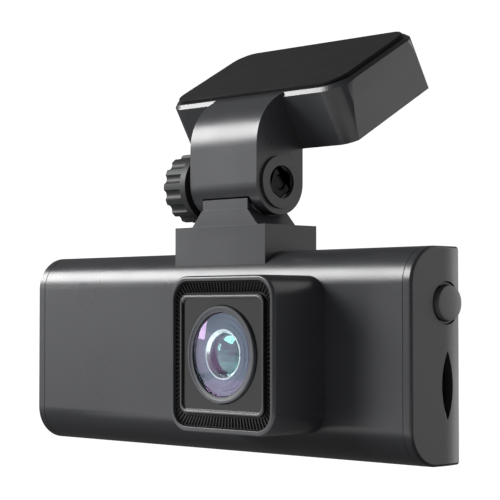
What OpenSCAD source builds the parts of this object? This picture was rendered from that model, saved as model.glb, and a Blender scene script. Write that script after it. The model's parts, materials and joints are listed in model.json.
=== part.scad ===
// A windscreen dash camera: a slim camera body with a square lens box hangs from a hinge
// under an arm, and the arm carries a tilted head that sticks to the glass.
// Millimetres. The lens looks along -Y, +Z is up, and +X is to the right seen from the front.
// The origin is the centre of the sticky face of the head's pad.
// Body coordinates: X from the middle of the body, Y from its front face, Z from its base.

/* [Camera body] */
// Width of the camera body over both end caps
body_w = 110; // [106:1:130]
// Height of the camera body
body_h = 40; // [40:1:46]
// Depth of the camera body without the lens box
body_d = 14; // [14:0.5:18]
// Radius of the two long front edges
nose_r = 7; // [5:0.5:7]
// Thickness of the moulded walls
wall = 1.6; // [1.2:0.1:1.8]
// Thickness of each end cap
cap_t = 2; // [2:0.1:2.4]

/* [Lens] */
// Sideways place of the lens from the middle of the body
lens_x = 19.35; // [17:0.25:22]
// Width of the square lens box
lens_box_w = 28.7; // [28:0.1:31]
// Height of the square lens box
lens_box_h = 29.7; // [29:0.1:31]
// How far the lens box stands out of the body
lens_box_d = 13.4; // [13:0.1:15]
// Outer diameter of the ring round the front glass
lens_ring_d = 18.3; // [17.5:0.1:18.6]

/* [Mount] */
// Sideways place of the arm and the head from the middle of the body
mount_x = 2.75; // [0:0.25:5]
// Width of the foot block on top of the body
foot_w = 26.6; // [25:0.2:32]
// Height of the foot block above the body
foot_h = 5.2; // [4.6:0.1:5.6]
// Height of the tilt axis above the body
axis_h = 13.9; // [13.9:0.1:15]
// Width of the arm across its two hinge ears
arm_w = 19.6; // [19.5:0.1:22]
// Width of the head
head_w = 51.5; // [46:0.5:60]
// Length of the head along its slope
head_l = 27.5; // [26:0.5:34]
// Thickness of the head without its pad
head_t = 12.3; // [12:0.1:14]
// Slope of the head from the horizontal
head_tilt = 30; // [26:1:34]
// How far each side of the head slopes in towards its base
side_in = 1.6; // [0:0.1:2]
// Thickness of the foam pad
pad_t = 0.8; // [0.6:0.1:1.2]
// Diameter of the thumb knob
knob_d = 14.4; // [12:0.1:16]

/* [Openings] */
// Diameter of the dish round the power button
dish_d = 7.9; // [7:0.1:8]
// Height of the memory card's slot
slot_h = 12.6; // [12.2:0.1:13]
// Width of the memory card's slot at its middle
slot_w = 3.2; // [2.6:0.1:3.2]

/* [Hidden] */
$fn = 64;
eps = 0.05;

// Ends and joints of the camera's case
end_x = body_w / 2;
shell_x = end_x - cap_t;
cover_t = 2.2;
split_y = body_d - cover_t;

// Layers inside the camera, measured back from the rear face
glass_t = 0.9;
glass_y = body_d - 0.2 - glass_t;
panel_t = 1.95;
panel_y = glass_y - 0.05 - panel_t;
board_t = 1.2;
board_y = body_d - 6.1;
board_rear_y = board_y + board_t;
board_x = end_x - 6.4;
board_gap = 2.5;

// Display window, from the middle of the body
glass_x0 = -end_x + 19;
glass_x1 = end_x - 7.5;
glass_gap = 3;
window_rim = 2.5;
window_gap = glass_gap + 1.5;
panel_clear = 0.6;

// Case screws
boss_x = end_x - 4.4;
boss_gap = 4.8;
boss_r = 1.9;
screw_r = 0.8;
screw_clear = 0.05;
screw_head_r = 1.5;

// Power button, on the right end
button_y = body_d - 4.1;
button_z = body_h - 10.4;
button_r = 3.2;
button_proud = 1.1;
button_crown_r = 14;
dish_depth = 0.8;

// Memory card and its socket, behind the right end
card_y = body_d - 4;
card_z = 14.6;
card_l = 15;
card_w = 11;
card_t = 0.75;
card_x1 = end_x - 2.1;
socket_l = 15.5;
socket_w = 14;
socket_x1 = end_x - 3.5;

// Charging port and speaker, at the left end
port_y = board_y + 1.3;
port_z = body_h - 12;
port_l = 7.4;
port_w = 8.94;
port_t = 3.2;
speaker_r = 4.75;
speaker_t = 3;
speaker_y = 6.6;
speaker_z = 12.5;

// Rear keys, one above the other beside the display
key_x = -end_x + 12.4;
key_z0 = 7;
key_step = (body_h - 2 * key_z0) / 3;
key_w = 6;
key_h = 4;
key_proud = 0.5;
key_flange = 0.7;
key_back = board_rear_y + 2.1;

// Lens parts, along the lens axis
lens_z = body_h / 2;
box_front = -lens_box_d;
box_r = 4.5;
flange_h = body_h - 2 * nose_r + 1.2;
rim_w = 1;
bezel_w = lens_box_w - 2 * rim_w;
bezel_h = lens_box_h - 2 * rim_w;
plate_w = 23.2;
plate_h = 22.4;
plate_y = box_front + 0.5;
ring_r = lens_ring_d / 2;
ring_in_r = ring_r - 0.85;
barrel_y = box_front + 1;
thread_r = 5.98;
holder_w = 15;
sensor_board_y = 1.2;
sensor_board_t = 1;
sensor_board_w = 24;

// Hinge between the foot and the arm
axis_y = 9;
axis_z = body_h + axis_h;
ear_r = 6.5;
tongue_r = 4.5;
tongue_w = arm_w - 6.4;
tongue_gap = 0.3;
web_in_r = 4.75;
web_end = 207;
slot_end = 380;
saddle_r = 6.75;
neck_t = 4.4;
pin_r = 1.5;
bore_r = 1.55;
arm_x0 = mount_x - arm_w / 2;
arm_x1 = mount_x + arm_w / 2;
side_disc_r = 5.3;
side_disc_t = 0.6;
nut_af = 5.5;
nut_t = 2.3;
nut_x0 = arm_x1 - 2.35;
foot_y0 = 1.5;
foot_y1 = body_d + 1.8;
shoulder_top = axis_z - ear_r + 1.2;
cradle_r = ear_r + 0.3;
knob_l = 6.6;
flutes = 14;
washer_t = 0.8;

// Arm: a flat front that bends back with this radius
arm_front = axis_y - ear_r;
arm_bend_r = 11.5;
arm_bend_z = axis_z + 7.2;

// Head: the front edge of its rim, and from it the centre of the pad's face
rim_y = axis_y + 0.2;
rim_z = axis_z + 17.7;
pad_y = rim_y + head_l / 2 * cos(head_tilt) - pad_t * sin(head_tilt);
pad_z = rim_z + head_l / 2 * sin(head_tilt) + pad_t * cos(head_tilt);
head_r = 5.5;
rear_in = 0.5;
head_wall = 1.8;
lid_t = 1.6;
lid_edge = 1.6;
ledge = 0.8;
head_boss_x = head_w / 2 - 5.6;
head_boss_y = head_l / 2 - 5.4;
gps_n = -pad_t - 5.6;

// Shared shapes ------------------------------------------------------------

// Moves body coordinates to the part's own frame
module place()
    translate([-mount_x, -pad_y, -pad_z]) children();

// The head's own frame: X across, Y up the slope, Z out of the pad
module head_frame()
    rotate([head_tilt, 0, 0]) children();

// Extrudes an outline drawn in Y and Z from x0 to x1
module along_x(x0, x1)
    translate([x0, 0, 0]) rotate([90, 0, 90]) linear_extrude(x1 - x0) children();

// Extrudes an outline drawn in X and Z from y0 to y1
module along_y(y0, y1)
    translate([0, y1, 0]) rotate([90, 0, 0]) linear_extrude(y1 - y0) children();

// Turns an outline about the lens axis: its x is the radius and its y is the depth
module about_lens()
    translate([lens_x, 0, lens_z]) rotate([-90, 0, 0]) rotate_extrude() children();

// A box given by its low corner and high corner
module block(low, high)
    translate(low) cube(high - low);

// Rectangle with round corners, about its centre
module round_rect(w, h, r) {
    square([w - 2 * r, h], center = true);
    square([w, h - 2 * r], center = true);
    for (x = [-1, 1], y = [-1, 1])
        translate([x * (w / 2 - r), y * (h / 2 - r)]) circle(r);
}

// Section of the camera body in Y and Z down to depth d, pulled in by e
module body_section(d, e = 0) {
    translate([nose_r, e]) square([d - nose_r, body_h - 2 * e]);
    translate([e, nose_r]) square([nose_r - e + eps, body_h - 2 * nose_r]);
    intersection() {
        square([nose_r + eps, body_h]);
        for (z = [nose_r, body_h - nose_r])
            translate([nose_r, z]) circle(nose_r - e);
    }
}

// Rounded rectangle about the lens axis, in X and Z
module lens_rect(w, h, r)
    translate([lens_x, lens_z]) round_rect(w, h, r);

// Places a child at each case screw, in X and Z
module at_case_screws()
    for (x = [-boss_x, boss_x], z = [boss_gap, body_h - boss_gap])
        translate([x, 0, z]) children();

// Places a child at each rear key, which sits in key's place of the row
module at_key(key)
    translate([key_x, 0, key_z0 + key * key_step]) children();

// Places a child at each screw of the head, in the head's frame
module at_head_screws()
    for (x = [-head_boss_x, head_boss_x], y = [-head_boss_y, head_boss_y])
        translate([x, y, 0]) children();

// Rod along Y from y0 to y1
module rod_y(r, y0, y1)
    translate([0, y1, 0]) rotate([90, 0, 0]) cylinder(r = r, h = y1 - y0);

// Rod along X from x0 to x1
module rod_x(r, x0, x1)
    translate([x0, 0, 0]) rotate([0, 90, 0]) cylinder(r = r, h = x1 - x0);

// Rod from z0 to z1
module rod_z(r, z0, z1)
    translate([0, 0, z0]) cylinder(r = r, h = z1 - z0);

// Moves a child drawn about X to the tilt axis
module at_axis()
    translate([0, axis_y, axis_z]) children();

// Windscreen head and arm ----------------------------------------------------

module adhesive_pad()
    color([0.10, 0.10, 0.11]) head_frame()
        translate([0, 0, -pad_t]) linear_extrude(pad_t)
            round_rect(head_w - 2.6, head_l - 2.6, head_r - 1.3);

module head_cover()
    color([0.17, 0.17, 0.18]) head_frame() difference() {
        translate([0, 0, -pad_t - lid_t]) linear_extrude(lid_t)
            round_rect(head_w - 2 * lid_edge - 0.1, head_l - 2 * lid_edge - 0.1, head_r - lid_edge);
        at_head_screws() {
            rod_z(screw_r + 0.2, -pad_t - lid_t - eps, -pad_t + eps);
            rod_z(screw_head_r + 0.2, -pad_t - 0.9, -pad_t + eps);
        }
    }

// Arm outline in Y and Z: round at the hinge, flat in front, bent back at the top
module arm_section() {
    translate([axis_y, axis_z]) circle(ear_r);
    translate([arm_front, axis_z]) square([2 * ear_r, arm_bend_z - axis_z]);
    intersection() {
        translate([arm_front + arm_bend_r, arm_bend_z]) circle(arm_bend_r);
        translate([arm_front, arm_bend_z - eps]) square([2 * ear_r, arm_bend_r + eps]);
    }
}

// Room for the foot's tongue and neck as they turn, leaving a curved web in front
module tongue_room() {
    translate([axis_y, axis_z]) {
        circle(web_in_r);
        polygon([[0, 0], for (a = [web_end : (slot_end - web_end) / 12 : slot_end]) 12 * [cos(a), sin(a)]]);
    }
}

// The head pulled in by e and cut off at heights n0 and n1 of its own frame
module head_solid(n0, n1, e = 0)
    head_frame() intersection() {
        translate([0, 0, n0]) linear_extrude(n1 - n0)
            round_rect(head_w - 2 * e, head_l - 2 * e, head_r - e);
        along_y(-head_l, head_l)
            polygon([[-head_w / 2 + e + side_in, -pad_t - head_t],
                [head_w / 2 - e - side_in, -pad_t - head_t],
                     [head_w / 2 - e, -pad_t], [-head_w / 2 + e, -pad_t]]);
        along_x(-head_w, head_w)
            polygon([[-head_l, -pad_t - head_t], [head_l / 2 - e - rear_in, -pad_t - head_t],
                     [head_l / 2 - e, -pad_t], [-head_l, -pad_t]]);
    }

module head_body() {
    head_solid(-pad_t - head_t, -pad_t);
    place() along_x(arm_x0, arm_x1) arm_section();
    place() at_axis() rod_x(side_disc_r, arm_x1 - eps, arm_x1 + side_disc_t);
}

module head_room() {
    head_frame() translate([0, 0, -pad_t - lid_t - eps]) linear_extrude(lid_t + 2 * eps)
        round_rect(head_w - 2 * lid_edge, head_l - 2 * lid_edge, head_r - lid_edge);
    head_solid(-pad_t - head_t + head_wall, -pad_t - lid_t, lid_edge + ledge);
}

module head_posts()
    head_frame() {
        at_head_screws() rod_z(2.1, -pad_t - head_t + eps, -pad_t - lid_t);
        for (x = [-12, 12], y = [-6.5, 6.5])
            translate([x, y, 0]) rod_z(1.2, -pad_t - head_t + eps, gps_n);
    }

module bracket_housing()
    color([0.24, 0.24, 0.25]) difference() {
        union() {
            difference() {
                head_body();
                head_room();
            }
            head_posts();
        }
        head_frame() at_head_screws()
            rod_z(screw_r + screw_clear, -pad_t - lid_t - 4.5, -pad_t);
        place() {
            along_x(mount_x - tongue_w / 2 - tongue_gap, mount_x + tongue_w / 2 + tongue_gap)
                tongue_room();
            at_axis() {
                rod_x(bore_r, arm_x0 - eps, arm_x1 + side_disc_t + eps);
                rod_x(3.3, arm_x1, arm_x1 + side_disc_t + eps);
                translate([nut_x0, 0, 0]) rotate([0, 90, 0])
                    cylinder(d = (nut_af + 0.1) / cos(30), h = 4, $fn = 6);
            }
        }
    }

module gps_board()
    color([0.05, 0.25, 0.16]) head_frame()
        translate([0, 0, gps_n]) linear_extrude(1) square([31, 18], center = true);

module gps_antenna()
    color([0.75, 0.72, 0.62]) head_frame()
        translate([0, 0, gps_n + 1]) linear_extrude(2.8) round_rect(17, 17, 0.6);

module gps_receiver()
    color([0.70, 0.70, 0.72]) head_frame()
        translate([0, 0, gps_n - 2.2]) linear_extrude(2.2) square([10.1, 9.7], center = true);

module head_screws()
    color([0.55, 0.55, 0.57]) head_frame() at_head_screws() {
        rod_z(screw_r, -pad_t - lid_t - 4, -pad_t - 0.85);
        rod_z(screw_head_r, -pad_t - 0.9, -pad_t - 0.1);
    }

module hinge_nut()
    color([0.62, 0.62, 0.64]) place() at_axis() translate([nut_x0 + eps, 0, 0])
        rotate([0, 90, 0]) difference() {
            cylinder(d = nut_af / cos(30), h = nut_t, $fn = 6);
            translate([0, 0, -eps]) cylinder(r = bore_r, h = nut_t + 2 * eps);
        }

// Thumb screw -----------------------------------------------------------------

module thumb_knob()
    color([0.14, 0.14, 0.15]) place() at_axis() difference() {
        rod_x(knob_d / 2, arm_x0 - washer_t - 0.15 - knob_l, arm_x0 - washer_t - 0.15);
        rod_x(pin_r, arm_x0 - 7, arm_x0);
        for (flute = [1 : flutes]) rotate([flute * 360 / flutes, 0, 0])
            translate([0, 0, knob_d / 2 + 0.55]) rod_x(1.15, arm_x0 - 10, arm_x0 - 2.6);
    }

module hinge_screw()
    color([0.62, 0.62, 0.64]) place() at_axis() rod_x(pin_r, arm_x0 - 7, arm_x1 - 0.3);

module thumb_washer()
    color([0.60, 0.60, 0.62]) place() at_axis() difference() {
        rod_x(4, arm_x0 - washer_t - 0.1, arm_x0 - 0.1);
        rod_x(bore_r, arm_x0 - 2, arm_x0 + 1);
    }

// Foot on top of the camera -----------------------------------------------------

// Block outline in Y and Z, before the body's own section is taken out of it
module foot_section() {
    translate([foot_y0, body_h - 5]) square([nose_r + 1 - foot_y0, 5 + foot_h]);
    translate([foot_y0, body_h]) square([foot_y1 - foot_y0, foot_h]);
}

// Tongue outline in Y and Z: a disc, its neck, and a saddle that faces the arm's web
module tongue_section() {
    translate([axis_y, axis_z]) circle(tongue_r);
    translate([axis_y - neck_t / 2, body_h + foot_h]) square([neck_t, axis_h - foot_h]);
    difference() {
        translate([axis_y - 5.9, body_h + foot_h]) square([8, 6]);
        translate([axis_y, axis_z]) circle(saddle_r);
    }
}

// Sloping shoulders of the tongue in X and Z, before the ears' cradle is taken out of them
module shoulder_section()
    polygon([[arm_x0, body_h + foot_h - eps], [arm_x1, body_h + foot_h - eps],
             [mount_x + tongue_w / 2, shoulder_top], [mount_x - tongue_w / 2, shoulder_top]]);

module mount_foot()
    color([0.26, 0.26, 0.27]) place() difference() {
        union() {
            difference() {
                along_x(mount_x - foot_w / 2, mount_x + foot_w / 2) foot_section();
                along_x(mount_x - foot_w, mount_x + foot_w) body_section(body_d);
            }
            difference() {
                along_y(axis_y - 6.1, axis_y + 4.6) shoulder_section();
                at_axis() rod_x(cradle_r, arm_x0 - 1, arm_x1 + 1);
            }
            along_x(mount_x - tongue_w / 2, mount_x + tongue_w / 2) tongue_section();
        }
        at_axis() rod_x(bore_r, mount_x - tongue_w, mount_x + tongue_w);
        for (x = [-8.5, 8.5]) translate([mount_x + x, axis_y, 0])
            rod_z(screw_r + screw_clear, body_h - eps, body_h + 4);
    }

module foot_screws()
    color([0.55, 0.55, 0.57]) place() for (x = [-8.5, 8.5])
        translate([mount_x + x, axis_y, 0]) {
            rod_z(screw_r, body_h - wall - eps, body_h + 3.5);
            rod_z(screw_head_r, body_h - wall - 0.85, body_h - wall);
        }

// Camera case ---------------------------------------------------------------------

module front_shell()
    color([0.25, 0.25, 0.26]) place() difference() {
        union() {
            difference() {
                along_x(-shell_x, shell_x) body_section(split_y);
                along_x(-shell_x - 1, shell_x + 1) body_section(split_y + 1, wall);
            }
            at_case_screws() rod_y(boss_r, wall / 2 + 0.6, split_y);
        }
        along_y(-1, wall + 1) lens_rect(lens_box_w - 3, lens_box_h - 3, box_r - 1.5);
        at_case_screws() rod_y(screw_r + screw_clear, split_y - 6, split_y + 1);
        for (x = [-8.5, 8.5]) translate([mount_x + x, axis_y, 0])
            rod_z(screw_r + screw_clear, body_h - 2 * wall, body_h + 1);
        translate([-24, nose_r + 2.4, 0]) rod_z(0.5, -1, wall + 1);
    }

module rear_cover()
    color([0.22, 0.22, 0.23]) place() difference() {
        along_y(split_y, body_d) translate([-shell_x, 0]) square([2 * shell_x, body_h]);
        block([glass_x0, body_d - glass_t - 0.2, glass_gap],
              [glass_x1, body_d + 1, body_h - glass_gap]);
        block([glass_x0 + window_rim, split_y - 1, window_gap],
              [glass_x1 - window_rim, body_d + 1, body_h - window_gap]);
        at_case_screws() {
            rod_y(screw_r + 0.2, split_y - 1, body_d + 1);
            rod_y(screw_head_r + 0.2, body_d - 1, body_d + 1);
        }
        for (key = [0 : 3]) at_key(key)
            along_y(split_y - 1, body_d + 1) round_rect(key_w + 0.3, key_h + 0.3, key_h / 2 + 0.1);
        translate([0, button_y, button_z]) rod_x(button_r + 0.5, end_x - 3.4, end_x);
    }

// Lens-shaped outline of the card slot in Y and Z, the overlap of two equal circles
module slot_outline() {
    slot_r = (pow(slot_h / 2, 2) + pow(slot_w / 2, 2)) / slot_w;
    intersection_for (side = [-1, 1])
        translate([side * (slot_r - slot_w / 2), 0]) circle(slot_r, $fn = 160);
}

module right_end_cap()
    color([0.21, 0.21, 0.22]) place() difference() {
        along_x(shell_x, end_x) body_section(body_d);
        translate([0, button_y, button_z]) {
            rod_x(button_r + 0.1, shell_x - 1, end_x + 1);
            rod_x(dish_d / 2, end_x - dish_depth, end_x + 1);
        }
        translate([0, card_y, card_z]) along_x(shell_x - 1, end_x + 1) slot_outline();
    }

module left_end_cap()
    color([0.21, 0.21, 0.22]) place() difference() {
        along_x(-end_x, -shell_x) body_section(body_d);
        translate([0, port_y, port_z]) along_x(-end_x - 1, -shell_x + 1)
            round_rect(port_t + 0.5, port_w + 0.5, port_t / 2);
        translate([0, speaker_y, speaker_z]) {
            rod_x(0.6, -end_x - 1, -shell_x + 1);
            for (hole = [0 : 5]) rotate([hole * 60, 0, 0]) translate([0, 0, 2.4])
                rod_x(0.6, -end_x - 1, -shell_x + 1);
        }
    }

module shell_screws()
    color([0.45, 0.45, 0.47]) place() at_case_screws() {
        rod_y(screw_r, split_y - 5, body_d - 0.95);
        rod_y(screw_head_r, body_d - 1, body_d - 0.2);
    }

// Lens box and lens ------------------------------------------------------------------

module lens_housing()
    color([0.18, 0.18, 0.19]) place() difference() {
        union() {
            along_y(box_front, 0) lens_rect(lens_box_w, lens_box_h, box_r);
            along_y(-eps, wall + 0.15) lens_rect(lens_box_w - 3.2, lens_box_h - 3.2, box_r - 1.6);
            along_y(wall + 0.1, wall + 0.9) lens_rect(lens_box_w - 1, flange_h, box_r - 0.5);
        }
        along_y(box_front - 1, box_front + 1.6) lens_rect(bezel_w, bezel_h, box_r - rim_w);
        along_y(box_front - 1, wall + 2) lens_rect(lens_box_w - 4, lens_box_h - 4, box_r - 2);
    }

module lens_bezel()
    color([0.05, 0.05, 0.05]) place() difference() {
        along_y(box_front + 0.4, box_front + 1.55)
            lens_rect(bezel_w - 0.1, bezel_h - 0.1, box_r - rim_w - 0.05);
        along_y(box_front - 1, box_front + 3) lens_rect(plate_w + 0.1, plate_h + 0.1, 1.6);
    }

module lens_face_plate()
    color([0.03, 0.03, 0.035]) place() difference() {
        union() {
            along_y(plate_y, plate_y + 1.2) lens_rect(plate_w, plate_h, 1.5);
            along_y(plate_y - 0.4, plate_y + eps) difference() {
                lens_rect(plate_w, plate_h, 1.5);
                lens_rect(plate_w - 1.3, plate_h - 1.3, 1);
            }
        }
        translate([lens_x, 0, lens_z]) rod_y(ring_r + 0.1, box_front - 1, plate_y + 3);
    }

module lens_ring()
    color([0.45, 0.46, 0.48]) place() about_lens() {
        translate([ring_in_r - 0.4, box_front - 0.1]) square([ring_r - ring_in_r + 0.4, 0.5]);
        translate([ring_in_r + 0.25, box_front + 0.35]) square([ring_r - ring_in_r - 0.25, 0.6]);
    }

// Glass disc of radius r from depth y0 to y1, with a front crown of height sag
module glass_disc(r, y0, y1, sag) {
    crown_r = (r * r + sag * sag) / (2 * sag);
    intersection() {
        translate([0, y0 + crown_r]) circle(crown_r, $fn = 240);
        translate([0, y0]) square([r, y1 - y0]);
    }
}

module front_lens_element()
    color([0.35, 0.45, 0.60, 0.5]) place() about_lens()
        glass_disc(ring_in_r - 0.5, box_front - 0.3, box_front + 1.1, 1.3);

module lens_barrel()
    color([0.08, 0.08, 0.09]) place() about_lens() {
        translate([ring_in_r - 0.4, barrel_y]) square([ring_r - ring_in_r + 0.4, 2.9]);
        translate([5, barrel_y + 2.9]) square([ring_r - 5, 0.8]);
        translate([4.6, barrel_y + 3.7]) square([2.8, 3.6]);
        translate([4.6, barrel_y + 7.3]) square([thread_r - 4.6, 4.1]);
    }

module lens_baffle()
    color([0.20, 0.27, 0.34]) place() about_lens()
        polygon([[4.7, barrel_y + 0.25], [7.7, barrel_y + 0.15], [7.7, barrel_y + 1.2],
                 [4.7, barrel_y + 1.2]]);

module inner_lens_ring()
    color([0.75, 0.77, 0.80]) place() about_lens()
        translate([3.95, barrel_y + 0.15]) square([0.7, 2.7]);

module second_lens_element()
    color([0.30, 0.35, 0.55, 0.5]) place() about_lens()
        glass_disc(3.9, barrel_y + 0.5, barrel_y + 2.8, 0.9);

module aperture_stop()
    color([0.04, 0.04, 0.04]) place() about_lens()
        translate([1.3, barrel_y + 3.7]) square([3.2, 0.5]);

module rear_lens_element()
    color([0.30, 0.35, 0.55, 0.5]) place() about_lens()
        glass_disc(4.2, barrel_y + 6.2, barrel_y + 8.4, 0.7);

module ir_filter()
    color([0.45, 0.30, 0.35, 0.6]) place()
        along_y(barrel_y + 10.6, barrel_y + 11) lens_rect(6, 6, 0.5);

module lens_holder()
    color([0.08, 0.08, 0.09]) place() difference() {
        along_y(-3.6, sensor_board_y) lens_rect(holder_w, holder_w, 1);
        translate([lens_x, 0, lens_z]) rod_y(thread_r + 0.04, -4, -0.4);
        along_y(-0.5, sensor_board_y + 1) lens_rect(10.5, 10.5, 0.5);
    }

module image_sensor()
    color([0.20, 0.22, 0.28]) place()
        along_y(0.2, sensor_board_y) lens_rect(9, 7, 0.3);

module sensor_board()
    color([0.05, 0.25, 0.16]) place() difference() {
        along_y(sensor_board_y, sensor_board_y + sensor_board_t)
            lens_rect(sensor_board_w, sensor_board_w, 1);
        at_sensor_screws() rod_y(0.7, 0, 4);
    }

// Places a child at each screw that holds the lens holder to its board
module at_sensor_screws()
    for (x = [-9.2, 9.2]) translate([lens_x + x, 0, lens_z]) children();

module sensor_screws()
    color([0.55, 0.55, 0.57]) place() at_sensor_screws() {
        rod_y(0.65, sensor_board_y - 1.5, sensor_board_y + sensor_board_t + eps);
        rod_y(1.2, sensor_board_y + sensor_board_t, sensor_board_y + sensor_board_t + 0.6);
    }

module sensor_ribbon()
    color([0.60, 0.38, 0.12]) place()
        block([lens_x - 6, sensor_board_y + sensor_board_t, lens_z - 9.2],
              [lens_x + 6, board_y, lens_z - 9]);

// Display -----------------------------------------------------------------------------

module display_glass()
    color([0.04, 0.04, 0.05]) place()
        block([glass_x0 + 0.1, glass_y, glass_gap + 0.1],
              [glass_x1 - 0.1, glass_y + glass_t, body_h - glass_gap - 0.1]);

module display_panel()
    color([0.15, 0.16, 0.18]) place()
        block([glass_x0 + window_rim + panel_clear, panel_y, window_gap + panel_clear],
              [glass_x1 - window_rim - panel_clear, panel_y + panel_t,
               body_h - window_gap - panel_clear]);

// Electronics ---------------------------------------------------------------------------

module main_board()
    color([0.05, 0.28, 0.18]) place() difference() {
        block([-board_x, board_y, board_gap], [board_x, board_rear_y, body_h - board_gap]);
        block([-board_x - 1, board_y - 1, port_z - port_w / 2 - 0.2],
              [-end_x + cap_t + port_l + 0.3, board_rear_y + 1, port_z + port_w / 2 + 0.2]);
    }

module processor()
    color([0.10, 0.10, 0.11]) place()
        block([-22, board_y - 1.2, 13], [-8, board_y, 27]);

module memory_chip()
    color([0.10, 0.10, 0.11]) place()
        block([-4, board_y - 1, 26.5], [4, board_y, 33]);

module thermal_pad()
    color([0.55, 0.62, 0.72]) place()
        block([-21, board_y - 1.7, 14], [-9, board_y - 1.2, 26]);

module heat_sink()
    color([0.72, 0.73, 0.75]) place() {
        block([-27, board_y - 2.7, 8], [-5, board_y - 1.7, 32]);
        for (fin = [0 : 6]) translate([-26.5 + fin * 3.5, 0, 0])
            block([0, board_y - 5, 8], [1, board_y - 2.65, 32]);
    }

module supercapacitors()
    color([0.12, 0.18, 0.30]) place() for (z = [22.5, 30])
        translate([0, board_y - 3.1, z]) rod_x(3, -44.5, -30.5);

module speaker()
    color([0.30, 0.30, 0.31]) place() translate([0, speaker_y, speaker_z])
        rod_x(speaker_r, -shell_x + 0.1, -shell_x + 0.1 + speaker_t);

module microphone()
    color([0.75, 0.72, 0.55]) place()
        translate([-24, nose_r + 2.4, 0]) difference() {
            block([-1.4, -1.2, wall + 0.1], [1.4, 1.2, wall + 0.85]);
            rod_z(0.3, 0, wall + 0.5);
        }

module wifi_antenna()
    color([0.70, 0.52, 0.25]) place()
        block([36, board_y - 0.5, 24], [46, board_y, 34]);

module usb_port()
    color([0.70, 0.70, 0.72]) place() translate([0, port_y, port_z]) {
        difference() {
            along_x(-shell_x - 1, -shell_x - 1 + port_l) round_rect(port_t, port_w, port_t / 2 - 0.05);
            along_x(-shell_x - 2, -shell_x - 2 + port_l) round_rect(port_t - 0.6, port_w - 0.6, 1.25);
        }
        block([-shell_x, -0.35, -3.3], [-shell_x - 1.5 + port_l, 0.35, 3.3]);
    }

module card_socket()
    color([0.68, 0.68, 0.70]) place() difference() {
        block([socket_x1 - socket_l, board_rear_y, card_z - socket_w / 2],
              [socket_x1, board_rear_y + 1.75, card_z + socket_w / 2]);
        block([card_x1 - card_l - 0.5, card_y - card_t / 2 - 0.1, card_z - card_w / 2 - 0.1],
              [socket_x1 + 1, card_y + card_t / 2 + 0.1, card_z + card_w / 2 + 0.1]);
    }

module microsd_card()
    color([0.06, 0.06, 0.07]) place() difference() {
        block([card_x1 - card_l, card_y - card_t / 2, card_z - card_w / 2],
              [card_x1, card_y + card_t / 2, card_z + card_w / 2]);
        block([card_x1 - card_l - 1, card_y - 1, card_z + card_w / 2 - 1.3],
              [card_x1 - 8.6, card_y + 1, card_z + card_w]);
    }

// Buttons ------------------------------------------------------------------------------

module power_button()
    color([0.36, 0.36, 0.38]) place() translate([0, button_y, button_z]) {
        rotate([0, 90, 0]) rotate_extrude() intersection() {
            translate([0, end_x + button_proud - button_crown_r]) circle(button_crown_r, $fn = 240);
            translate([0, shell_x + 0.05]) square([button_r, cap_t + button_proud]);
        }
        block([shell_x - 0.8, -1.7, -3.8], [shell_x - 0.1, 1.7, 3.8]);
        rod_x(1.1, board_x + 1.3, shell_x + 0.5);
    }

module button_ring()
    color([0.04, 0.04, 0.04]) place() translate([0, button_y, button_z]) difference() {
        rod_x(dish_d / 2 - 0.02, end_x - dish_depth, end_x - dish_depth + 0.3);
        rod_x(button_r + 0.1, shell_x, end_x);
    }

module power_switch()
    color([0.15, 0.15, 0.16]) place() {
        block([board_x - 3.6, board_rear_y, button_z - 3], [board_x + 0.2, panel_y - 0.1, button_z + 3]);
        translate([0, button_y, button_z]) rod_x(0.7, board_x + 0.15, board_x + 0.8);
    }

module key_switches()
    color([0.15, 0.15, 0.16]) place() for (key = [0 : 3]) at_key(key) {
        block([-1.7, board_rear_y, -1.7], [1.7, board_rear_y + 1.2, 1.7]);
        rod_y(0.8, board_rear_y + 1.15, board_rear_y + 1.7);
    }

// One rear key, with a flange that holds it behind the cover
module rear_key(key)
    color([0.30, 0.30, 0.31]) place() at_key(key) {
        along_y(key_back, body_d + key_proud) round_rect(key_w, key_h, key_h / 2 - 0.05);
        along_y(key_back, key_back + 0.4)
            round_rect(key_w + 2 * key_flange, key_h + 2 * key_flange, key_h / 2);
    }

module menu_key() rear_key(3);
module up_key() rear_key(2);
module down_key() rear_key(1);
module ok_key() rear_key(0);

adhesive_pad();
head_cover();
bracket_housing();
gps_board();
gps_antenna();
gps_receiver();
head_screws();
hinge_nut();
thumb_knob();
hinge_screw();
thumb_washer();
mount_foot();
foot_screws();
front_shell();
rear_cover();
right_end_cap();
left_end_cap();
shell_screws();
lens_housing();
lens_bezel();
lens_face_plate();
lens_ring();
front_lens_element();
lens_baffle();
inner_lens_ring();
second_lens_element();
aperture_stop();
rear_lens_element();
ir_filter();
lens_barrel();
lens_holder();
image_sensor();
sensor_board();
sensor_screws();
sensor_ribbon();
display_glass();
display_panel();
main_board();
processor();
memory_chip();
thermal_pad();
heat_sink();
supercapacitors();
speaker();
microphone();
wifi_antenna();
usb_port();
card_socket();
microsd_card();
power_button();
button_ring();
power_switch();
key_switches();
menu_key();
up_key();
down_key();
ok_key();
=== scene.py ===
import json
import math

import bmesh
import bpy
from mathutils import Matrix, Vector


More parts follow.
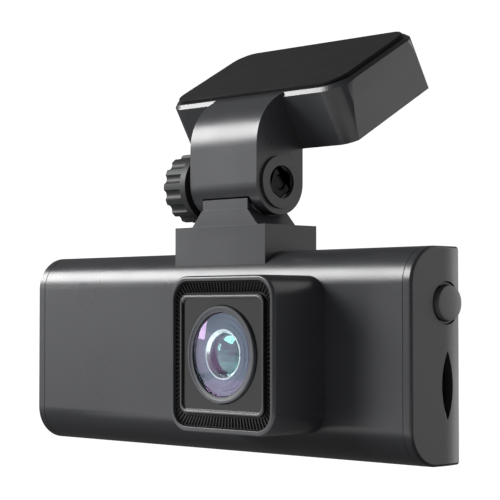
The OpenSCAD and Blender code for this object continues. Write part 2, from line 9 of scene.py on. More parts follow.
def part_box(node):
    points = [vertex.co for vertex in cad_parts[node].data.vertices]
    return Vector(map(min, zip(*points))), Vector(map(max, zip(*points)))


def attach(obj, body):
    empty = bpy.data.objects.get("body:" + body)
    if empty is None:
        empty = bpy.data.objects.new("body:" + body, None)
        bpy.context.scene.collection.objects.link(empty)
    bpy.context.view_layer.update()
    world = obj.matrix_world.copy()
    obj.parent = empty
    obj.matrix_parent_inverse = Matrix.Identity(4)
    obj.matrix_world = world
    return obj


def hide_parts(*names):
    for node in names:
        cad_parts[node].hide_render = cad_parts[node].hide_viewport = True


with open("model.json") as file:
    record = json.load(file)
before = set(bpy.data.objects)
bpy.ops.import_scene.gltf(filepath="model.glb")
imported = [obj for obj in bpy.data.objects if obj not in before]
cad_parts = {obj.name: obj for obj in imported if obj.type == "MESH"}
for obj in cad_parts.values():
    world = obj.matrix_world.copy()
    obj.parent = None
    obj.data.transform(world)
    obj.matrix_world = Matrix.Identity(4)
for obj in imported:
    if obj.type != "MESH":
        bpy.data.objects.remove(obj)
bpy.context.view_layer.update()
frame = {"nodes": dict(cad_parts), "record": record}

RECORD = frame["record"]
MM = 0.001
BODY_OF = {node: body for body, nodes in RECORD["behaviour"]["bodies"].items() for node in nodes}
SLOT_OF = {part["node"]: part["material_slot"] for part in RECORD["subparts"]}

# Places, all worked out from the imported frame, in millimetres -------------------------


def box_mm(node):
    """A node's lowest and highest corner in millimetres."""
    low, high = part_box(node)
    return Vector(low) / MM, Vector(high) / MM


SHELL_LO, SHELL_HI = box_mm("front_shell")
ORIGIN = Vector(((SHELL_LO.x + SHELL_HI.x) / 2, SHELL_LO.y, SHELL_LO.z))
CAP_X = box_mm("right_end_cap")[1].x - ORIGIN.x
CAP_INNER_X = SHELL_HI.x - ORIGIN.x
BODY_H = SHELL_HI.z - ORIGIN.z
BODY_D = box_mm("rear_cover")[1].y - ORIGIN.y
BOX_LO, BOX_HI = (corner - ORIGIN for corner in box_mm("lens_housing"))
LENS_X = (BOX_LO.x + BOX_HI.x) / 2
LENS_Z = (BOX_LO.z + BOX_HI.z) / 2
BOX_W = BOX_HI.x - BOX_LO.x
BOX_H = 2 * (BOX_HI.z - LENS_Z)
BOX_FRONT = BOX_LO.y
BOX_R = 4.5

HEAD_TILT = math.radians(30)
PAD_T = 0.8
HEAD_T = 12.3
HEAD_W = box_mm("bracket_housing")[1].x - box_mm("bracket_housing")[0].x
HEAD_L = (box_mm("adhesive_pad")[1].y - box_mm("adhesive_pad")[0].y) / math.cos(HEAD_TILT) + 2.1
HEAD_R = 5.5
ARM_EDGE = 10.1  # just past the arm's side, from the head's middle
KNOB_LO, KNOB_HI = (corner - ORIGIN for corner in box_mm("thumb_knob"))
AXIS_Y = (KNOB_LO.y + KNOB_HI.y) / 2
AXIS_Z = (KNOB_LO.z + KNOB_HI.z) / 2


def body_point(x, y, z):
    """Body coordinates in millimetres to a point in the frame, in metres."""
    return (Vector((x, y, z)) + ORIGIN) * MM


def to_body(point):
    """A point in the frame, in metres, to body coordinates in millimetres."""
    return Vector(point) / MM - ORIGIN


def to_head(point):
    """A point in the frame, in metres, to the head's across, up the slope and out of the pad."""
    x, y, z = Vector(point) / MM
    along = y * math.cos(HEAD_TILT) + z * math.sin(HEAD_TILT)
    out = z * math.cos(HEAD_TILT) - y * math.sin(HEAD_TILT)
    return x, along, out


def from_head(across, along, out):
    """A point of the head in its own millimetres, to the frame in metres."""
    y = along * math.cos(HEAD_TILT) - out * math.sin(HEAD_TILT)
    z = along * math.sin(HEAD_TILT) + out * math.cos(HEAD_TILT)
    return Vector((across, y, z)) * MM


# Materials ------------------------------------------------------------------------------


def socket(node, name, value):
    """Sets an input of a node to a constant."""
    node.inputs[name].default_value = value


def new_material(name):
    """A new material with its node tree and its main shader."""
    material = bpy.data.materials.new(name)
    material.use_nodes = True
    tree = material.node_tree
    shader = tree.nodes["Principled BSDF"]
    return material, tree, shader


def noise(tree, scale, detail=2.0, roughness=0.5, stretch=(1, 1, 1)):
    """Noise over the object's own coordinates, with about scale grains a metre."""
    coords = tree.nodes.new("ShaderNodeTexCoord")
    mapping = tree.nodes.new("ShaderNodeMapping")
    socket(mapping, "Scale", stretch)
    texture = tree.nodes.new("ShaderNodeTexNoise")
    socket(texture, "Scale", scale)
    socket(texture, "Detail", detail)
    socket(texture, "Roughness", roughness)
    tree.links.new(coords.outputs["Object"], mapping.inputs["Vector"])
    tree.links.new(mapping.outputs["Vector"], texture.inputs["Vector"])
    return texture.outputs["Fac"]


def map_range(tree, source, low, high, to_low, to_high):
    """A value between low and high, stretched to run between two others."""
    node = tree.nodes.new("ShaderNodeMapRange")
    socket(node, "From Min", low)
    socket(node, "From Max", high)
    socket(node, "To Min", to_low)
    socket(node, "To Max", to_high)
    tree.links.new(source, node.inputs["Value"])
    return node.outputs["Result"]


def mix_colour(tree, factor, colour_a, colour_b):
    """A mix of two colours; either may be an output of another node."""
    node = tree.nodes.new("ShaderNodeMix")
    node.data_type = "RGBA"
    for place, colour in ((6, colour_a), (7, colour_b)):
        if isinstance(colour, tuple):
            node.inputs[place].default_value = (*colour, 1)
        else:
            tree.links.new(colour, node.inputs[place])
    tree.links.new(factor, node.inputs[0])
    return node.outputs[2]


def bump(tree, shader, height, strength, distance):
    """Raises the shader's surface by a height pattern, over a distance in metres."""
    node = tree.nodes.new("ShaderNodeBump")
    socket(node, "Strength", strength)
    socket(node, "Distance", distance)
    tree.links.new(height, node.inputs["Height"])
    tree.links.new(node.outputs["Normal"], shader.inputs["Normal"])


def scaled(colour, factor):
    """A colour made lighter or darker."""
    return tuple(min(1.0, c * factor) for c in colour)


def worn_colour(tree, colour, wear, mottle=0.12):
    """The base colour with faint cloudy patches, and lighter where edges are rubbed."""
    clouds = noise(tree, 90, 4)
    base = mix_colour(tree, clouds, scaled(colour, 1 - mottle), scaled(colour, 1 + mottle))
    geometry = tree.nodes.new("ShaderNodeNewGeometry")
    edges = map_range(tree, geometry.outputs["Pointiness"], 0.53, 0.66, 0, 1)
    return mix_colour(tree, edges, base, scaled(colour, wear))


def moulded_plastic(name, colour, rough, grain=2600, depth=0.02, spread=0.05, wear=1.35,
                    specular=0.5):
    """Moulded plastic: spark-eroded grain, uneven sheen, and edges rubbed a little lighter."""
    material, tree, shader = new_material(name)
    tree.links.new(worn_colour(tree, colour, wear), shader.inputs["Base Color"])
    sheen = noise(tree, 60, 3)
    tree.links.new(map_range(tree, sheen, 0.3, 0.7, rough - spread, rough + spread),
                   shader.inputs["Roughness"])
    socket(shader, "Specular IOR Level", specular)
    bump(tree, shader, noise(tree, grain, 2), 0.35, depth * MM)
    return material


def foam(name, colour):
    """Closed-cell foam: fine open pores in a matt skin."""
    material, tree, shader = new_material(name)
    pores = tree.nodes.new("ShaderNodeTexVoronoi")
    socket(pores, "Scale", 2400)
    coords = tree.nodes.new("ShaderNodeTexCoord")
    tree.links.new(coords.outputs["Object"], pores.inputs["Vector"])
    pits = map_range(tree, pores.outputs["Distance"], 0.1, 0.6, 0, 1)
    tree.links.new(mix_colour(tree, pits, scaled(colour, 1.25), scaled(colour, 0.8)),
                   shader.inputs["Base Color"])
    tree.links.new(map_range(tree, noise(tree, 120, 3), 0.3, 0.7, 0.8, 0.95),
                   shader.inputs["Roughness"])
    socket(shader, "Specular IOR Level", 0.25)
    bump(tree, shader, pits, 0.5, 0.05 * MM)
    return material


def metal(name, colour, rough, scale=900, stretch=(1, 1, 1)):
    """Plated or turned metal with fine tool marks."""
    material, tree, shader = new_material(name)
    socket(shader, "Metallic", 1.0)
    marks = noise(tree, scale, 4, 0.6, stretch)
    tree.links.new(mix_colour(tree, marks, scaled(colour, 0.75), colour),
                   shader.inputs["Base Color"])
    tree.links.new(map_range(tree, marks, 0.3, 0.7, rough * 0.7, rough * 1.3),
                   shader.inputs["Roughness"])
    bump(tree, shader, marks, 0.15, 0.01 * MM)
    return material


def glass(name, colour, tint=(1, 1, 1), rough=0.015, ior=1.6, specular=0.5):
    """Coated optical glass with faint wipe marks in its polish."""
    material, tree, shader = new_material(name)
    socket(shader, "Transmission Weight", 1.0)
    socket(shader, "IOR", ior)
    socket(shader, "Specular Tint", (*tint, 1))
    socket(shader, "Specular IOR Level", specular)
    smear = noise(tree, 180, 3)
    tree.links.new(map_range(tree, smear, 0.35, 0.7, rough, rough * 3), shader.inputs["Roughness"])
    tree.links.new(mix_colour(tree, smear, colour, scaled(colour, 1.05)),
                   shader.inputs["Base Color"])
    return material


def display(name):
    """Cover glass with a printed black border round a screen that is switched off."""
    material, tree, shader = new_material(name)
    low, high = box_mm("display_panel")
    middle, half = (low + high) / 2, (high - low) / 2
    coords = tree.nodes.new("ShaderNodeTexCoord")
    split = tree.nodes.new("ShaderNodeSeparateXYZ")
    tree.links.new(coords.outputs["Object"], split.inputs[0])
    inside = None
    for axis, centre, reach in (("X", middle.x, half.x - 0.6), ("Z", middle.z, half.z - 0.6)):
        away = tree.nodes.new("ShaderNodeMath")
        away.operation = "SUBTRACT"
        away.inputs[1].default_value = centre * MM
        tree.links.new(split.outputs[axis], away.inputs[0])
        size = tree.nodes.new("ShaderNodeMath")
        size.operation = "ABSOLUTE"
        tree.links.new(away.outputs[0], size.inputs[0])
        within = map_range(tree, size.outputs[0], reach * MM, (reach + 0.05) * MM, 1, 0)
        if inside is None:
            inside = within
        else:
            both = tree.nodes.new("ShaderNodeMath")
            both.operation = "MULTIPLY"
            tree.links.new(inside, both.inputs[0])
            tree.links.new(within, both.inputs[1])
            inside = both.outputs[0]
    tree.links.new(mix_colour(tree, inside, (0.004, 0.004, 0.004), (0.013, 0.015, 0.020)),
                   shader.inputs["Base Color"])
    tree.links.new(map_range(tree, noise(tree, 70, 4), 0.3, 0.7, 0.04, 0.10),
                   shader.inputs["Roughness"])
    return material


MATERIALS = {
    "bracket_plastic": moulded_plastic("bracket_plastic", (0.036, 0.037, 0.041), 0.31),
    "case_plastic": moulded_plastic("case_plastic", (0.036, 0.037, 0.041), 0.31),
    "black_plastic": moulded_plastic("black_plastic", (0.010, 0.010, 0.011), 0.42),
    "bezel_black": moulded_plastic("bezel_black", (0.005, 0.005, 0.005), 0.55, specular=0.22),
    "knob_rubber": moulded_plastic("knob_rubber", (0.020, 0.021, 0.022), 0.5, specular=0.35),
    "gloss_black": moulded_plastic("gloss_black", (0.008, 0.008, 0.009), 0.16, 600, 0.002,
                                   0.04, 1.1),
    "foam": foam("foam", (0.012, 0.012, 0.013)),
    "keys": moulded_plastic("keys", (0.12, 0.12, 0.125), 0.40),
    "ring_metal": moulded_plastic("ring_metal", (0.05, 0.053, 0.06), 0.5),
    "steel": metal("steel", (0.40, 0.41, 0.43), 0.34),
    "black_steel": metal("black_steel", (0.02, 0.02, 0.021), 0.5),
    "shield_can": metal("shield_can", (0.62, 0.63, 0.65), 0.28),
    "heat_sink": metal("heat_sink", (0.66, 0.67, 0.69), 0.42, 500, (6, 1, 1)),
    "lens_glass": glass("lens_glass", (0.86, 0.93, 1.0), (0.85, 0.38, 1.0)),
    "inner_glass": glass("inner_glass", (0.55, 0.62, 0.66), (0.35, 1.0, 0.85), 0.01, 1.75, 0.9),
    "filter_glass": glass("filter_glass", (0.8, 0.55, 0.6)),
    "silver": metal("silver", (0.80, 0.81, 0.82), 0.28),
    "baffle": moulded_plastic("baffle", (0.10, 0.14, 0.175), 0.42, 1800, 0.01),
    # A lighter grey for the lip of the glossy black lens plate: a painted highlight for the light
    # line along the plate's raised edge.
    "lip_grey_painted_highlight": moulded_plastic("lip_grey_painted_highlight", (0.07, 0.07, 0.075), 0.3),
    "screen_glass": display("screen_glass"),
    "panel": moulded_plastic("panel", (0.04, 0.04, 0.05), 0.2, 1500, 0.002, 0.02, 1.0),
    "circuit_board": moulded_plastic("circuit_board", (0.01, 0.09, 0.05), 0.35, 1200, 0.02,
                                     0.1, 1.3),
    "chip": moulded_plastic("chip", (0.015, 0.015, 0.016), 0.5),
    "antenna_ceramic": moulded_plastic("antenna_ceramic", (0.62, 0.56, 0.44), 0.5),
    "flex_film": moulded_plastic("flex_film", (0.50, 0.27, 0.06), 0.3),
    "thermal_pad": moulded_plastic("thermal_pad", (0.35, 0.42, 0.55), 0.8),
    "capacitor_sleeve": moulded_plastic("capacitor_sleeve", (0.03, 0.05, 0.11), 0.25),
    "printed_mark": moulded_plastic("printed_mark", (0.62, 0.62, 0.62), 0.5, 3000, 0.002),
}

# Mesh tools -------------------------------------------------------------------------------


def make_piece(name, mesh, node, material=None, body=None, crease=32, hides=True):
    """Turns a bmesh into a named piece that rides on the node's body.

    It stands in for the node, unless hides is off and it only adds to the node's other piece.
    """
    bmesh.ops.recalc_face_normals(mesh, faces=mesh.faces)
    data = bpy.data.meshes.new(name)
    mesh.to_mesh(data)
    mesh.free()
    for polygon in data.polygons:
        polygon.use_smooth = True
    data.set_sharp_from_angle(angle=math.radians(crease))
    data.materials.append(MATERIALS[material or SLOT_OF[node]])
    piece = bpy.data.objects.new(name, data)
    bpy.context.collection.objects.link(piece)
    normals = piece.modifiers.new("normals", "WEIGHTED_NORMAL")
    normals.keep_sharp = True
    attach(piece, body or BODY_OF[node])
    if hides:
        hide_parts(node)
    return piece


def node_mesh(node):
    """A CAD node's mesh with its triangles joined back into flat faces."""
    mesh = bmesh.new()
    mesh.from_mesh(frame["nodes"][node].data)
    bmesh.ops.remove_doubles(mesh, verts=mesh.verts, dist=0.002 * MM)
    bmesh.ops.dissolve_limit(mesh, angle_limit=math.radians(0.5), verts=mesh.verts,
                             edges=mesh.edges)
    return mesh


def round_edges(mesh, width, chosen, segments=4, least=30, outward=False):
    """Rounds the sharp edges whose middle passes a test; outward leaves inner corners sharp."""
    sharp = [edge for edge in mesh.edges
             if len(edge.link_faces) == 2 and edge.calc_face_angle(0) > math.radians(least)
             and chosen((edge.verts[0].co + edge.verts[1].co) / 2)
             and not (outward and edge.calc_face_angle_signed(0) < 0)]
    if sharp:
        bmesh.ops.bevel(mesh, geom=sharp, offset=width * MM, offset_type="OFFSET",
                        segments=segments, profile=0.5, affect="EDGES", clamp_overlap=True)


def refine(node, *rules, material=None, crease=32):
    """Rebuilds a node with rounded edges. Each rule is a width and the test of its edges."""
    mesh = node_mesh(node)
    for width, chosen in rules:
        round_edges(mesh, width, chosen)
    return make_piece(node + "_shape", mesh, node, material, crease=crease)


def rect_ring(width, height, radius, steps=8):
    """Points of a round-cornered rectangle, counter-clockwise."""
    points = []
    for quarter, (sx, sz) in enumerate(((1, 1), (-1, 1), (-1, -1), (1, -1))):
        for step in range(steps + 1):
            angle = math.radians(90 * (quarter + step / steps))
            points.append((sx * (width / 2 - radius) + radius * math.cos(angle),
                           sz * (height / 2 - radius) + radius * math.sin(angle)))
    return points


def skin(mesh, rings, closed=False):
    """Joins rings of points in body millimetres into a strip of faces; closed caps nothing."""
    rows = [[mesh.verts.new(body_point(*point)) for point in ring] for ring in rings]
    pairs = list(zip(rows, rows[1:]))
    if closed:
        pairs.append((rows[-1], rows[0]))
    for near, far in pairs:
        for i in range(len(near)):
            j = (i + 1) % len(near)
            mesh.faces.new((near[i], near[j], far[j], far[i]))
    return rows


def circle(x, y, z, radius, steps):
    """Points of a circle that faces the front, in body millimetres."""
    return [(x + radius * math.cos(2 * math.pi * i / steps), y,
             z + radius * math.sin(2 * math.pi * i / steps)) for i in range(steps)]


def lens_lathe(name, node, profile, material=None, steps=128, crease=40):
    """A ring about the lens axis. Each point of its profile is a radius and a depth."""
    mesh = bmesh.new()
    skin(mesh, [circle(LENS_X, depth, LENS_Z, radius, steps) for radius, depth in profile],
         closed=True)
    return make_piece(name, mesh, node, material, crease=crease)


def lens_dome(name, node, radius, front, back, sag, hollow=0.0, material=None):
    """A glass disc with a crowned front and, where hollow is given, a dished back."""
    steps = 96
    rows = 14
    mesh = bmesh.new()
    rings = []
    for row in range(1, rows + 1):
        r = radius * row / rows
        rings.append((r, front + sag * (r / radius) ** 2))
    for row in range(rows, 0, -1):
        r = radius * row / rows
        rings.append((r, back - hollow * (1 - (r / radius) ** 2)))
    skinned = skin(mesh, [circle(LENS_X, y, LENS_Z, r, steps) for r, y in rings])
    for ring, y in ((skinned[0], front), (skinned[-1], back - hollow)):
        tip = mesh.verts.new(body_point(LENS_X, y, LENS_Z))
        for i in range(steps):
            mesh.faces.new((ring[i], ring[(i + 1) % steps], tip))
    return make_piece(name, mesh, node, material)


def cut(piece, mesh):
    """Takes a closed cutter out of a piece for good."""
    data = bpy.data.meshes.new("cutter")
    bmesh.ops.recalc_face_normals(mesh, faces=mesh.faces)
    mesh.to_mesh(data)
    mesh.free()
    cutter = bpy.data.objects.new("cutter", data)
    bpy.context.collection.objects.link(cutter)
    boolean = piece.modifiers.new("cut", "BOOLEAN")
    boolean.operation = "DIFFERENCE"
    boolean.solver = "EXACT"
    boolean.object = cutter
    piece.modifiers.move(len(piece.modifiers) - 1, 0)
    bpy.context.view_layer.update()
    others = [m for m in piece.modifiers if m.name != "cut"]
    for modifier in others:
        modifier.show_viewport = False
    bpy.context.view_layer.update()
    shown = piece.evaluated_get(bpy.context.evaluated_depsgraph_get())
    solid = bpy.data.meshes.new_from_object(shown)
    piece.modifiers.remove(piece.modifiers["cut"])
    piece.data = solid
    for modifier in others:
        modifier.show_viewport = True
    bpy.data.objects.remove(cutter)


def add_block(mesh, low, high):
    """A box between two corners in body millimetres, for cutters and printed marks."""
    corners = [mesh.verts.new(body_point(x, y, z))
               for x in (low[0], high[0]) for y in (low[1], high[1]) for z in (low[2], high[2])]
    for face in ((0, 1, 3, 2), (4, 6, 7, 5), (0, 4, 5, 1),
                 (2, 3, 7, 6), (0, 2, 6, 4), (1, 5, 7, 3)):
        mesh.faces.new([corners[i] for i in face])


def anywhere(point):
    """Every sharp edge of the mesh."""
    return True


# Windscreen head, arm and foot ----------------------------------------------------------------


def on_rim(point):
    """The outer edge of the head's top rim."""
    across, along, out = to_head(point)
    if out < -PAD_T - 0.1:
        return False
    dx = abs(across) - (HEAD_W / 2 - HEAD_R)
    dy = abs(along) - (HEAD_L / 2 - HEAD_R)
    if dx > 0 and dy > 0:
        return math.hypot(dx, dy) > HEAD_R - 0.8
    return max(dx, dy) > HEAD_R - 0.8


def on_head_base(point):
    """The lower outer edge of the head."""
    return to_head(point)[2] < -PAD_T - HEAD_T + 0.1


def rim_chamfer(leg):
    """A cutter for a flat chamfer along the head's rim, all round but across the arm."""
    steps = 12
    path = [(ARM_EDGE, -HEAD_L / 2, 0, -1)]
    for corner, (sx, sy) in enumerate(((1, -1), (1, 1), (-1, 1), (-1, -1))):
        for step in range(steps + 1):
            angle = math.radians(90 * (corner - 1 + step / steps))
            u, v = math.cos(angle), math.sin(angle)
            path.append((sx * (HEAD_W / 2 - HEAD_R) + HEAD_R * u,
                         sy * (HEAD_L / 2 - HEAD_R) + HEAD_R * v, u, v))
    path.append((-ARM_EDGE, -HEAD_L / 2, 0, -1))
    profile = ((leg + 0.4, 0.4 - PAD_T), (-1.2, 1.2 - PAD_T), (-0.4, -PAD_T - leg - 0.4))
    mesh = bmesh.new()
    rows = [[mesh.verts.new(from_head(x - inset * u, y - inset * v, out))
             for inset, out in profile] for x, y, u, v in path]
    for row, after in zip(rows, rows[1:]):
        for i in range(3):
            mesh.faces.new((row[i], row[(i + 1) % 3], after[(i + 1) % 3], after[i]))
    mesh.faces.new(rows[0])
    mesh.faces.new(rows[-1])
    return mesh


def add_bracket():
    """The arm and head, with a chamfered rim, and the foot under them."""
    mesh = node_mesh("bracket_housing")
    round_edges(mesh, 0.95, on_rim)
    round_edges(mesh, 0.5, on_head_base)
    round_edges(mesh, 0.3, anywhere, outward=True)
    housing = make_piece("bracket_housing_shape", mesh, "bracket_housing")
    cut(housing, rim_chamfer(0.7))
    mesh = node_mesh("mount_foot")
    round_edges(mesh, 0.25, anywhere, outward=True)
    round_edges(mesh, 0.04, anywhere)
    make_piece("mount_foot_shape", mesh, "mount_foot")
    refine("head_cover", (0.2, anywhere))


def add_pad():
    """The foam pad: its long edge is rounded over."""
    mesh = node_mesh("adhesive_pad")
    round_edges(mesh, 0.3, lambda point: to_head(point)[2] > -PAD_T / 2)
    pad = make_piece("foam_pad", mesh, "adhesive_pad")


def add_knob():
    """The fluted knob with rounded flutes and a stepped cap on its end."""
    knob = refine("thumb_knob", (0.3, anywhere), material="knob_rubber", crease=28)
    groove = bmesh.new()
    steps = 72
    inner, outer = 4.2, 4.9
    start, end = KNOB_LO.x - 0.5, KNOB_LO.x + 0.45
    rings = []
    for x, r in ((start, outer), (end, outer), (end, inner), (start, inner)):
        rings.append([(x, AXIS_Y + r * math.cos(2 * math.pi * i / steps),
                       AXIS_Z + r * math.sin(2 * math.pi * i / steps)) for i in range(steps)])
    skin(groove, rings, closed=True)
    cut(knob, groove)


def add_hinge_metal():
    """The nut, screw and washer of the hinge."""
    refine("hinge_nut", (0.15, anywhere), material="black_steel")
    refine("hinge_screw", (0.2, anywhere), material="black_steel")
    refine("thumb_washer", (0.1, anywhere))


# Camera case ---------------------------------------------------------------------------------


def on_cap_outline(point):
    """The outer edge of an end cap, round its front and along its top and bottom."""
    place = to_body(point)
    if abs(place.x) < CAP_X - 0.05 or place.y > BODY_D - 0.05:
        return False
    return place.y < 5.5 or not 6.5 < place.z < BODY_H - 6.3


def curve_back(mesh):
    """Curves the rear part of an end cap's outer face gently in towards the rear cover."""
    start = BODY_D - 5
    depth = 0.75
    steps = 10
    for step in range(steps):
        cut_y = start + (BODY_D - start) * step / steps
        bmesh.ops.bisect_plane(mesh, geom=mesh.verts[:] + mesh.edges[:] + mesh.faces[:], dist=1e-6,
                               plane_co=body_point(0, cut_y, 0), plane_no=(0, 1, 0))
    for vert in mesh.verts:
        place = to_body(vert.co)
        if place.y > start and abs(place.x) > CAP_X - 1.5:
            drop = depth * ((place.y - start) / (BODY_D - start)) ** 2
            vert.co.x -= math.copysign(drop * MM, place.x)


def at_seam(point):
    """The joint between the front shell and an end cap."""
    return abs(abs(to_body(point).x) - CAP_INNER_X) < 0.05


def add_button():
    """The power button. Its stem ends just short of the switch when it is pressed."""
    gap = 0.05 * MM
    mesh = node_mesh("power_button")
    stem_end = min(vert.co.x for vert in mesh.verts)
    round_edges(mesh, 0.2, anywhere)
    for vert in mesh.verts:
        if vert.co.x < stem_end + gap:
            vert.co.x += gap
    make_piece("power_button_shape", mesh, "power_button")


def add_case():
    """The shells, end caps, button, card, port and display glass."""
    refine("front_shell", (0.18, at_seam))
    refine("rear_cover", (0.25, anywhere))
    for cap in ("right_end_cap", "left_end_cap"):
        mesh = node_mesh(cap)
        round_edges(mesh, 0.6, on_cap_outline)
        round_edges(mesh, 0.1, anywhere)
        curve_back(mesh)
        make_piece(cap + "_shape", mesh, cap)
    add_button()
    refine("microsd_card", (0.12, anywhere))
    refine("usb_port", (0.08, anywhere))
    refine("display_glass", (0.25, anywhere))


def add_case_screws():
    """Screws of the case with a cross recess in each head."""
    screws = refine("shell_screws", (0.12, anywhere))
    low, high = box_mm("shell_screws")
    top = high.y - ORIGIN.y
    reach_x = (high.x - low.x) / 2 - 1.5
    reach_z = (high.z - low.z) / 2 - 1.5
    middle_z = (high.z + low.z) / 2 - ORIGIN.z
    for x in (-reach_x, reach_x):
        for z in (middle_z - reach_z, middle_z + reach_z):
            for wide, tall in ((0.85, 0.17), (0.17, 0.85)):
                slot = bmesh.new()
                add_block(slot, (x - wide, top - 0.45, z - tall), (x + wide, top + 1, z + tall))
                cut(screws, slot)


def add_keys():
    """Rear keys with rounded caps, each with a plain printed mark."""
    for key in ("menu_key", "up_key", "down_key", "ok_key"):
        refine(key, (0.3, anywhere))
        low, high = box_mm(key)
        face = high.y - ORIGIN.y
        x = (low.x + high.x) / 2 - ORIGIN.x
        z = (low.z + high.z) / 2 - ORIGIN.z
        sunk = face - 0.01
        proud = face + 0.02
        mesh = bmesh.new()
        if key == "menu_key":
            for bar in (-0.65, -0.4), (-0.12, 0.12), (0.4, 0.65):
                add_block(mesh, (x - 1.1, sunk, z + bar[0]), (x + 1.1, proud, z + bar[1]))
        elif key == "ok_key":
            profile = ((0.95, sunk), (0.95, proud), (0.7, proud), (0.7, sunk))
            skin(mesh, [circle(x, y, z, r, 48) for r, y in profile], closed=True)
        else:
            point = 0.7 if key == "up_key" else -0.7
            outline = ((x - 1.0, z - point), (x + 1.0, z - point), (x, z + point))
            rows = skin(mesh, [[(a, y, b) for a, b in outline] for y in (sunk, proud)])
            for row in rows:
                mesh.faces.new(row)
        make_piece(key + "_mark", mesh, key, "printed_mark", hides=False)


# Lens box and lens -----------------------------------------------------------------------------


def on_box_front(point):
    """The outer front edge of the lens box."""
    place = to_body(point)
    dx = abs(place.x - LENS_X) - (BOX_W / 2 - BOX_R)
    dz = abs(place.z - LENS_Z) - (BOX_H / 2 - BOX_R)
    if place.y > BOX_FRONT + 0.05:
        return False
    if dx > 0 and dz > 0:
        return math.hypot(dx, dz) > BOX_R - 0.3
    return max(dx, dz) > BOX_R - 0.3


def near_box_front(point):
    """Every edge close to the front of the lens box."""
    return to_body(point).y < BOX_FRONT + 2


def add_lens_box():
    """The square box, with a rounded edge round its front."""
    refine("lens_housing", (0.55, on_box_front), (0.15, near_box_front))


def even_ring(width, height, radius, count):
    """Points at even steps round a round-cornered rectangle, from the middle of its right side."""
    flat_w, flat_h = width - 2 * radius, height - 2 * radius
    arc = math.pi * radius / 2
    around = 2 * (flat_w + flat_h) + 4 * arc
    points = []
    for i in range(count):
        run = around * i / count
        x, z, turn = width / 2, 0.0, 90.0
        for flat in (flat_h / 2, flat_w, flat_h, flat_w, flat_h / 2):
            step = min(run, flat)
            x += step * math.cos(math.radians(turn))
            z += step * math.sin(math.radians(turn))
            run -= step
            if run <= 0:
                break
            swing = math.degrees(min(run, arc) / radius)
            middle = math.radians(turn + 90)
            cx, cz = x + radius * math.cos(middle), z + radius * math.sin(middle)
            x = cx + radius * math.cos(math.radians(turn - 90 + swing))
            z = cz + radius * math.sin(math.radians(turn - 90 + swing))
            turn += 90
            run -= min(run, arc)
            if run <= 0:
                break
        points.append((x, z))
    return points


def add_bezel():
    """The recess round the lens: a sloping band of fine ribs that run in towards the plate."""
    ribs = 116
    mesh = bmesh.new()
    outer = (BOX_W - 2.1, BOX_H - 2.1, 3.45)
    low, high = box_mm("lens_face_plate")
    inner = (high.x - low.x + 0.1, high.z - low.z + 0.1, 1.6)
    profile = [(0.0, 1.55, 0), (0.0, 0.6, 0), (0.08, 0.55, 0), (0.12, 0.55, 0.32),
               (0.8, 0.75, 0.32), (0.86, 0.8, 0), (1.0, 0.8, 0), (1.0, 1.55, 0)]
    rings = []
    for share, depth, rib_depth in profile:
        size = [a + (b - a) * share for a, b in zip(outer, inner)]
        ring = []
        for i, (u, v) in enumerate(even_ring(*size, 4 * ribs)):
            groove = rib_depth if i % 4 in (1, 2) else 0
            ring.append((LENS_X + u, BOX_FRONT + depth + groove, LENS_Z + v))
        rings.append(ring)
    skin(mesh, rings, closed=True)
    make_piece("ribbed_bezel", mesh, "lens_bezel", "bezel_black", crease=25)


def add_plate():
    """The glossy plate round the lens, with a rounded lip along its edge in a lighter grey that is
    a painted highlight.
    """
    refine("lens_face_plate", (0.12, anywhere))
    low, high = (corner - ORIGIN for corner in box_mm("lens_face_plate"))
    width, height = high.x - low.x, high.z - low.z
    lip = 0.6
    mesh = bmesh.new()
    rings = []
    for step in range(9):
        angle = math.pi * step / 8
        inset = lip / 2 - lip / 2 * math.cos(angle)
        depth = low.y + 0.35 - 0.42 * math.sin(angle)
        ring = rect_ring(width - 2 * inset, height - 2 * inset, 2.0 - inset)
        rings.append([(LENS_X + u, depth, LENS_Z + v) for u, v in ring])
    skin(mesh, rings, closed=True)
    # The lip takes a lighter grey than its glossy black plate: a painted highlight along the
    # plate's edge.
    make_piece("plate_lip", mesh, "lens_face_plate", "lip_grey_painted_highlight", hides=False)


def lens_box(node):
    """A lens part's radius, and the depths of its front and back."""
    low, high = (corner - ORIGIN for corner in box_mm(node))
    return (high.x - low.x) / 2, low.y, high.y


def add_lens():
    """The ring, the baffle, the silver ring and the two front glasses."""
    radius, front, back = lens_box("lens_ring")
    lens_lathe("front_ring", "lens_ring", [
        (radius - 1.2, front + 0.45), (radius - 1.2, front + 0.14), (radius - 0.55, front + 0.11),
        (radius - 0.42, front), (radius - 0.12, front), (radius, front + 0.12), (radius, back),
        (radius - 0.6, back), (radius - 0.6, front + 0.45)])
    radius, front, back = lens_box("front_lens_element")
    lens_dome("front_glass", "front_lens_element", radius, front, back, 0.7, 0.35)
    radius, front, back = lens_box("lens_baffle")
    lens_lathe("stepped_baffle", "lens_baffle", [
        (4.7, back), (4.7, front + 0.1), (5.7, front + 0.06), (5.75, front + 0.14),
        (6.7, front + 0.08), (6.75, front + 0.16), (radius, front + 0.04), (radius, back)],
        "baffle", crease=20)
    radius, front, back = lens_box("inner_lens_ring")
    lens_lathe("silver_ring", "inner_lens_ring", [
        (radius - 0.7, back), (radius - 0.7, front + 0.5), (radius - 0.25, front),
        (radius, front), (radius, back)], "silver")
    radius, front, back = lens_box("second_lens_element")
    lens_dome("second_glass", "second_lens_element", radius, front, back, 0.9, 0.4, "inner_glass")


# CAD nodes that stay -------------------------------------------------------------------------


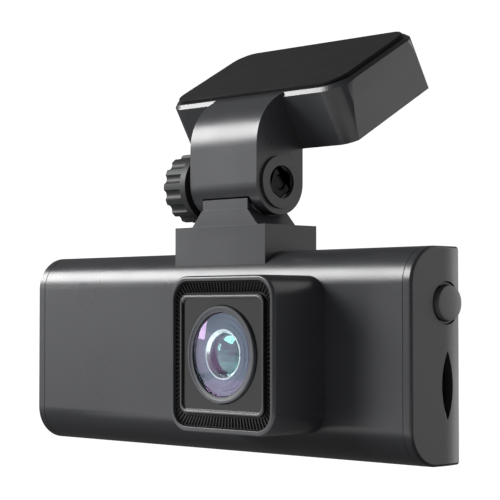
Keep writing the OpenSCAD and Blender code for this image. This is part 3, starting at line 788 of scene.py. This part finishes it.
def soften(node, width, segments=3):
    """Rounds a CAD node's sharp edges by width millimetres."""
    obj = frame["nodes"][node]
    weld = obj.modifiers.new("weld", "WELD")
    weld.merge_threshold = 0.002 * MM
    flat = obj.modifiers.new("flat", "DECIMATE")
    flat.decimate_type = "DISSOLVE"
    flat.angle_limit = math.radians(0.5)
    edge = obj.modifiers.new("edge", "BEVEL")
    edge.width = width * MM
    edge.segments = segments
    edge.limit_method = "ANGLE"
    edge.angle_limit = math.radians(35)
    edge.harden_normals = True
    edge.use_clamp_overlap = True


def dress_nodes():
    """Gives every CAD node its finish, and rounded edges where it still shows."""
    for node, finish in SLOT_OF.items():
        cad = frame["nodes"][node]
        cad.data.materials.clear()
        cad.data.materials.append(MATERIALS[finish])
        if not cad.hide_render:
            soften(node, 0.15)


add_bracket()
add_pad()
add_knob()
add_hinge_metal()
add_case()
add_case_screws()
add_keys()
add_lens_box()
add_bezel()
add_plate()
add_lens()
dress_nodes()

# Camera and studio -----------------------------------------------------------------------------

CAMERA_AT = (261.0, -235.0, 27.8)
CAMERA_TURN = 46.5
CAMERA_RISE = 2.06
LENS_LENGTH = 125.9
FLOOR_Z = -60


def add_camera():
    """The camera, level with the lens and turned towards the right end cap."""
    data = bpy.data.cameras.new("camera")
    data.lens = LENS_LENGTH
    data.sensor_width = 36
    data.clip_start = 0.01
    camera = bpy.data.objects.new("camera", data)
    camera.location = body_point(*CAMERA_AT)
    camera.rotation_euler = (math.radians(90 + CAMERA_RISE), 0, math.radians(CAMERA_TURN))
    bpy.context.collection.objects.link(camera)
    bpy.context.scene.camera = camera


def area_light(name, place, target, size, power):
    """A rectangular softbox at place, turned to target, both in body coordinates."""
    data = bpy.data.lights.new(name, "AREA")
    data.shape = "RECTANGLE"
    data.size, data.size_y = size[0] * MM, size[1] * MM
    data.energy = power
    light = bpy.data.objects.new(name, data)
    light.location = body_point(*place)
    aim = body_point(*target) - light.location
    light.rotation_euler = aim.to_track_quat("-Z", "Y").to_euler()
    bpy.context.collection.objects.link(light)
    return light


def add_floor():
    """A pale floor that curves up into a backdrop behind the object."""
    near, far, height, half_width = -1500, 900, 1800, 2500
    bend = 300
    steps = 24
    rows = [(near, FLOOR_Z)]
    for step in range(steps + 1):
        angle = math.radians(90 * step / steps)
        rows.append((far + bend * math.sin(angle), FLOOR_Z + bend - bend * math.cos(angle)))
    rows.append((far + bend, height))
    turn = Matrix.Rotation(math.radians(CAMERA_TURN), 3, "Z")
    mesh = bmesh.new()
    strip = []
    for y, z in rows:
        strip.append([mesh.verts.new(body_point(*(turn @ Vector((x, y, z)))))
                      for x in (-half_width, half_width)])
    for row, after in zip(strip, strip[1:]):
        mesh.faces.new((row[0], row[1], after[1], after[0]))
    data = bpy.data.meshes.new("floor")
    mesh.to_mesh(data)
    mesh.free()
    for polygon in data.polygons:
        polygon.use_smooth = True
    floor = bpy.data.objects.new("floor", data)
    material, tree, shader = new_material("pale_floor")
    tint = noise(tree, 3, 2)
    tree.links.new(mix_colour(tree, tint, (0.58, 0.58, 0.58), (0.62, 0.62, 0.62)),
                   shader.inputs["Base Color"])
    socket(shader, "Roughness", 0.9)
    socket(shader, "Emission Color", (1, 1, 1, 1))
    socket(shader, "Emission Strength", 0.8)
    data.materials.append(material)
    bpy.context.collection.objects.link(floor)
    floor.visible_diffuse = False
    floor.visible_glossy = False


def add_world(level):
    """An even white surround of the given strength."""
    world = bpy.data.worlds.new("studio")
    world.use_nodes = True
    background = world.node_tree.nodes["Background"]
    background.inputs["Color"].default_value = (1, 1, 1, 1)
    background.inputs["Strength"].default_value = level
    bpy.context.scene.world = world


add_camera()
add_floor()
add_world(0.12)
area_light("key", (-640, -540, 450), (0, 0, 30), (760, 330), 12)
area_light("side_fill", (-720, -530, 10), (0, 0, 20), (620, 220), 0.43)
area_light("right_panel", (520, 480, 80), (40, 0, 30), (900, 640), 1.5)
area_light("rear_panel", (170, 720, 60), (50, 10, 20), (300, 500), 0.9)
area_light("upper_rear", (250, 560, 520), (0, 0, 30), (500, 300), 0.5)
area_light("sparkle", (-820, -455, 135), (0, 0, 20), (90, 110), 0.25)
area_light("low_bounce", (35, -45, -0.5), (35, -45, 100), (190, 60), 0.045)
bpy.context.scene.view_settings.view_transform = "Standard"
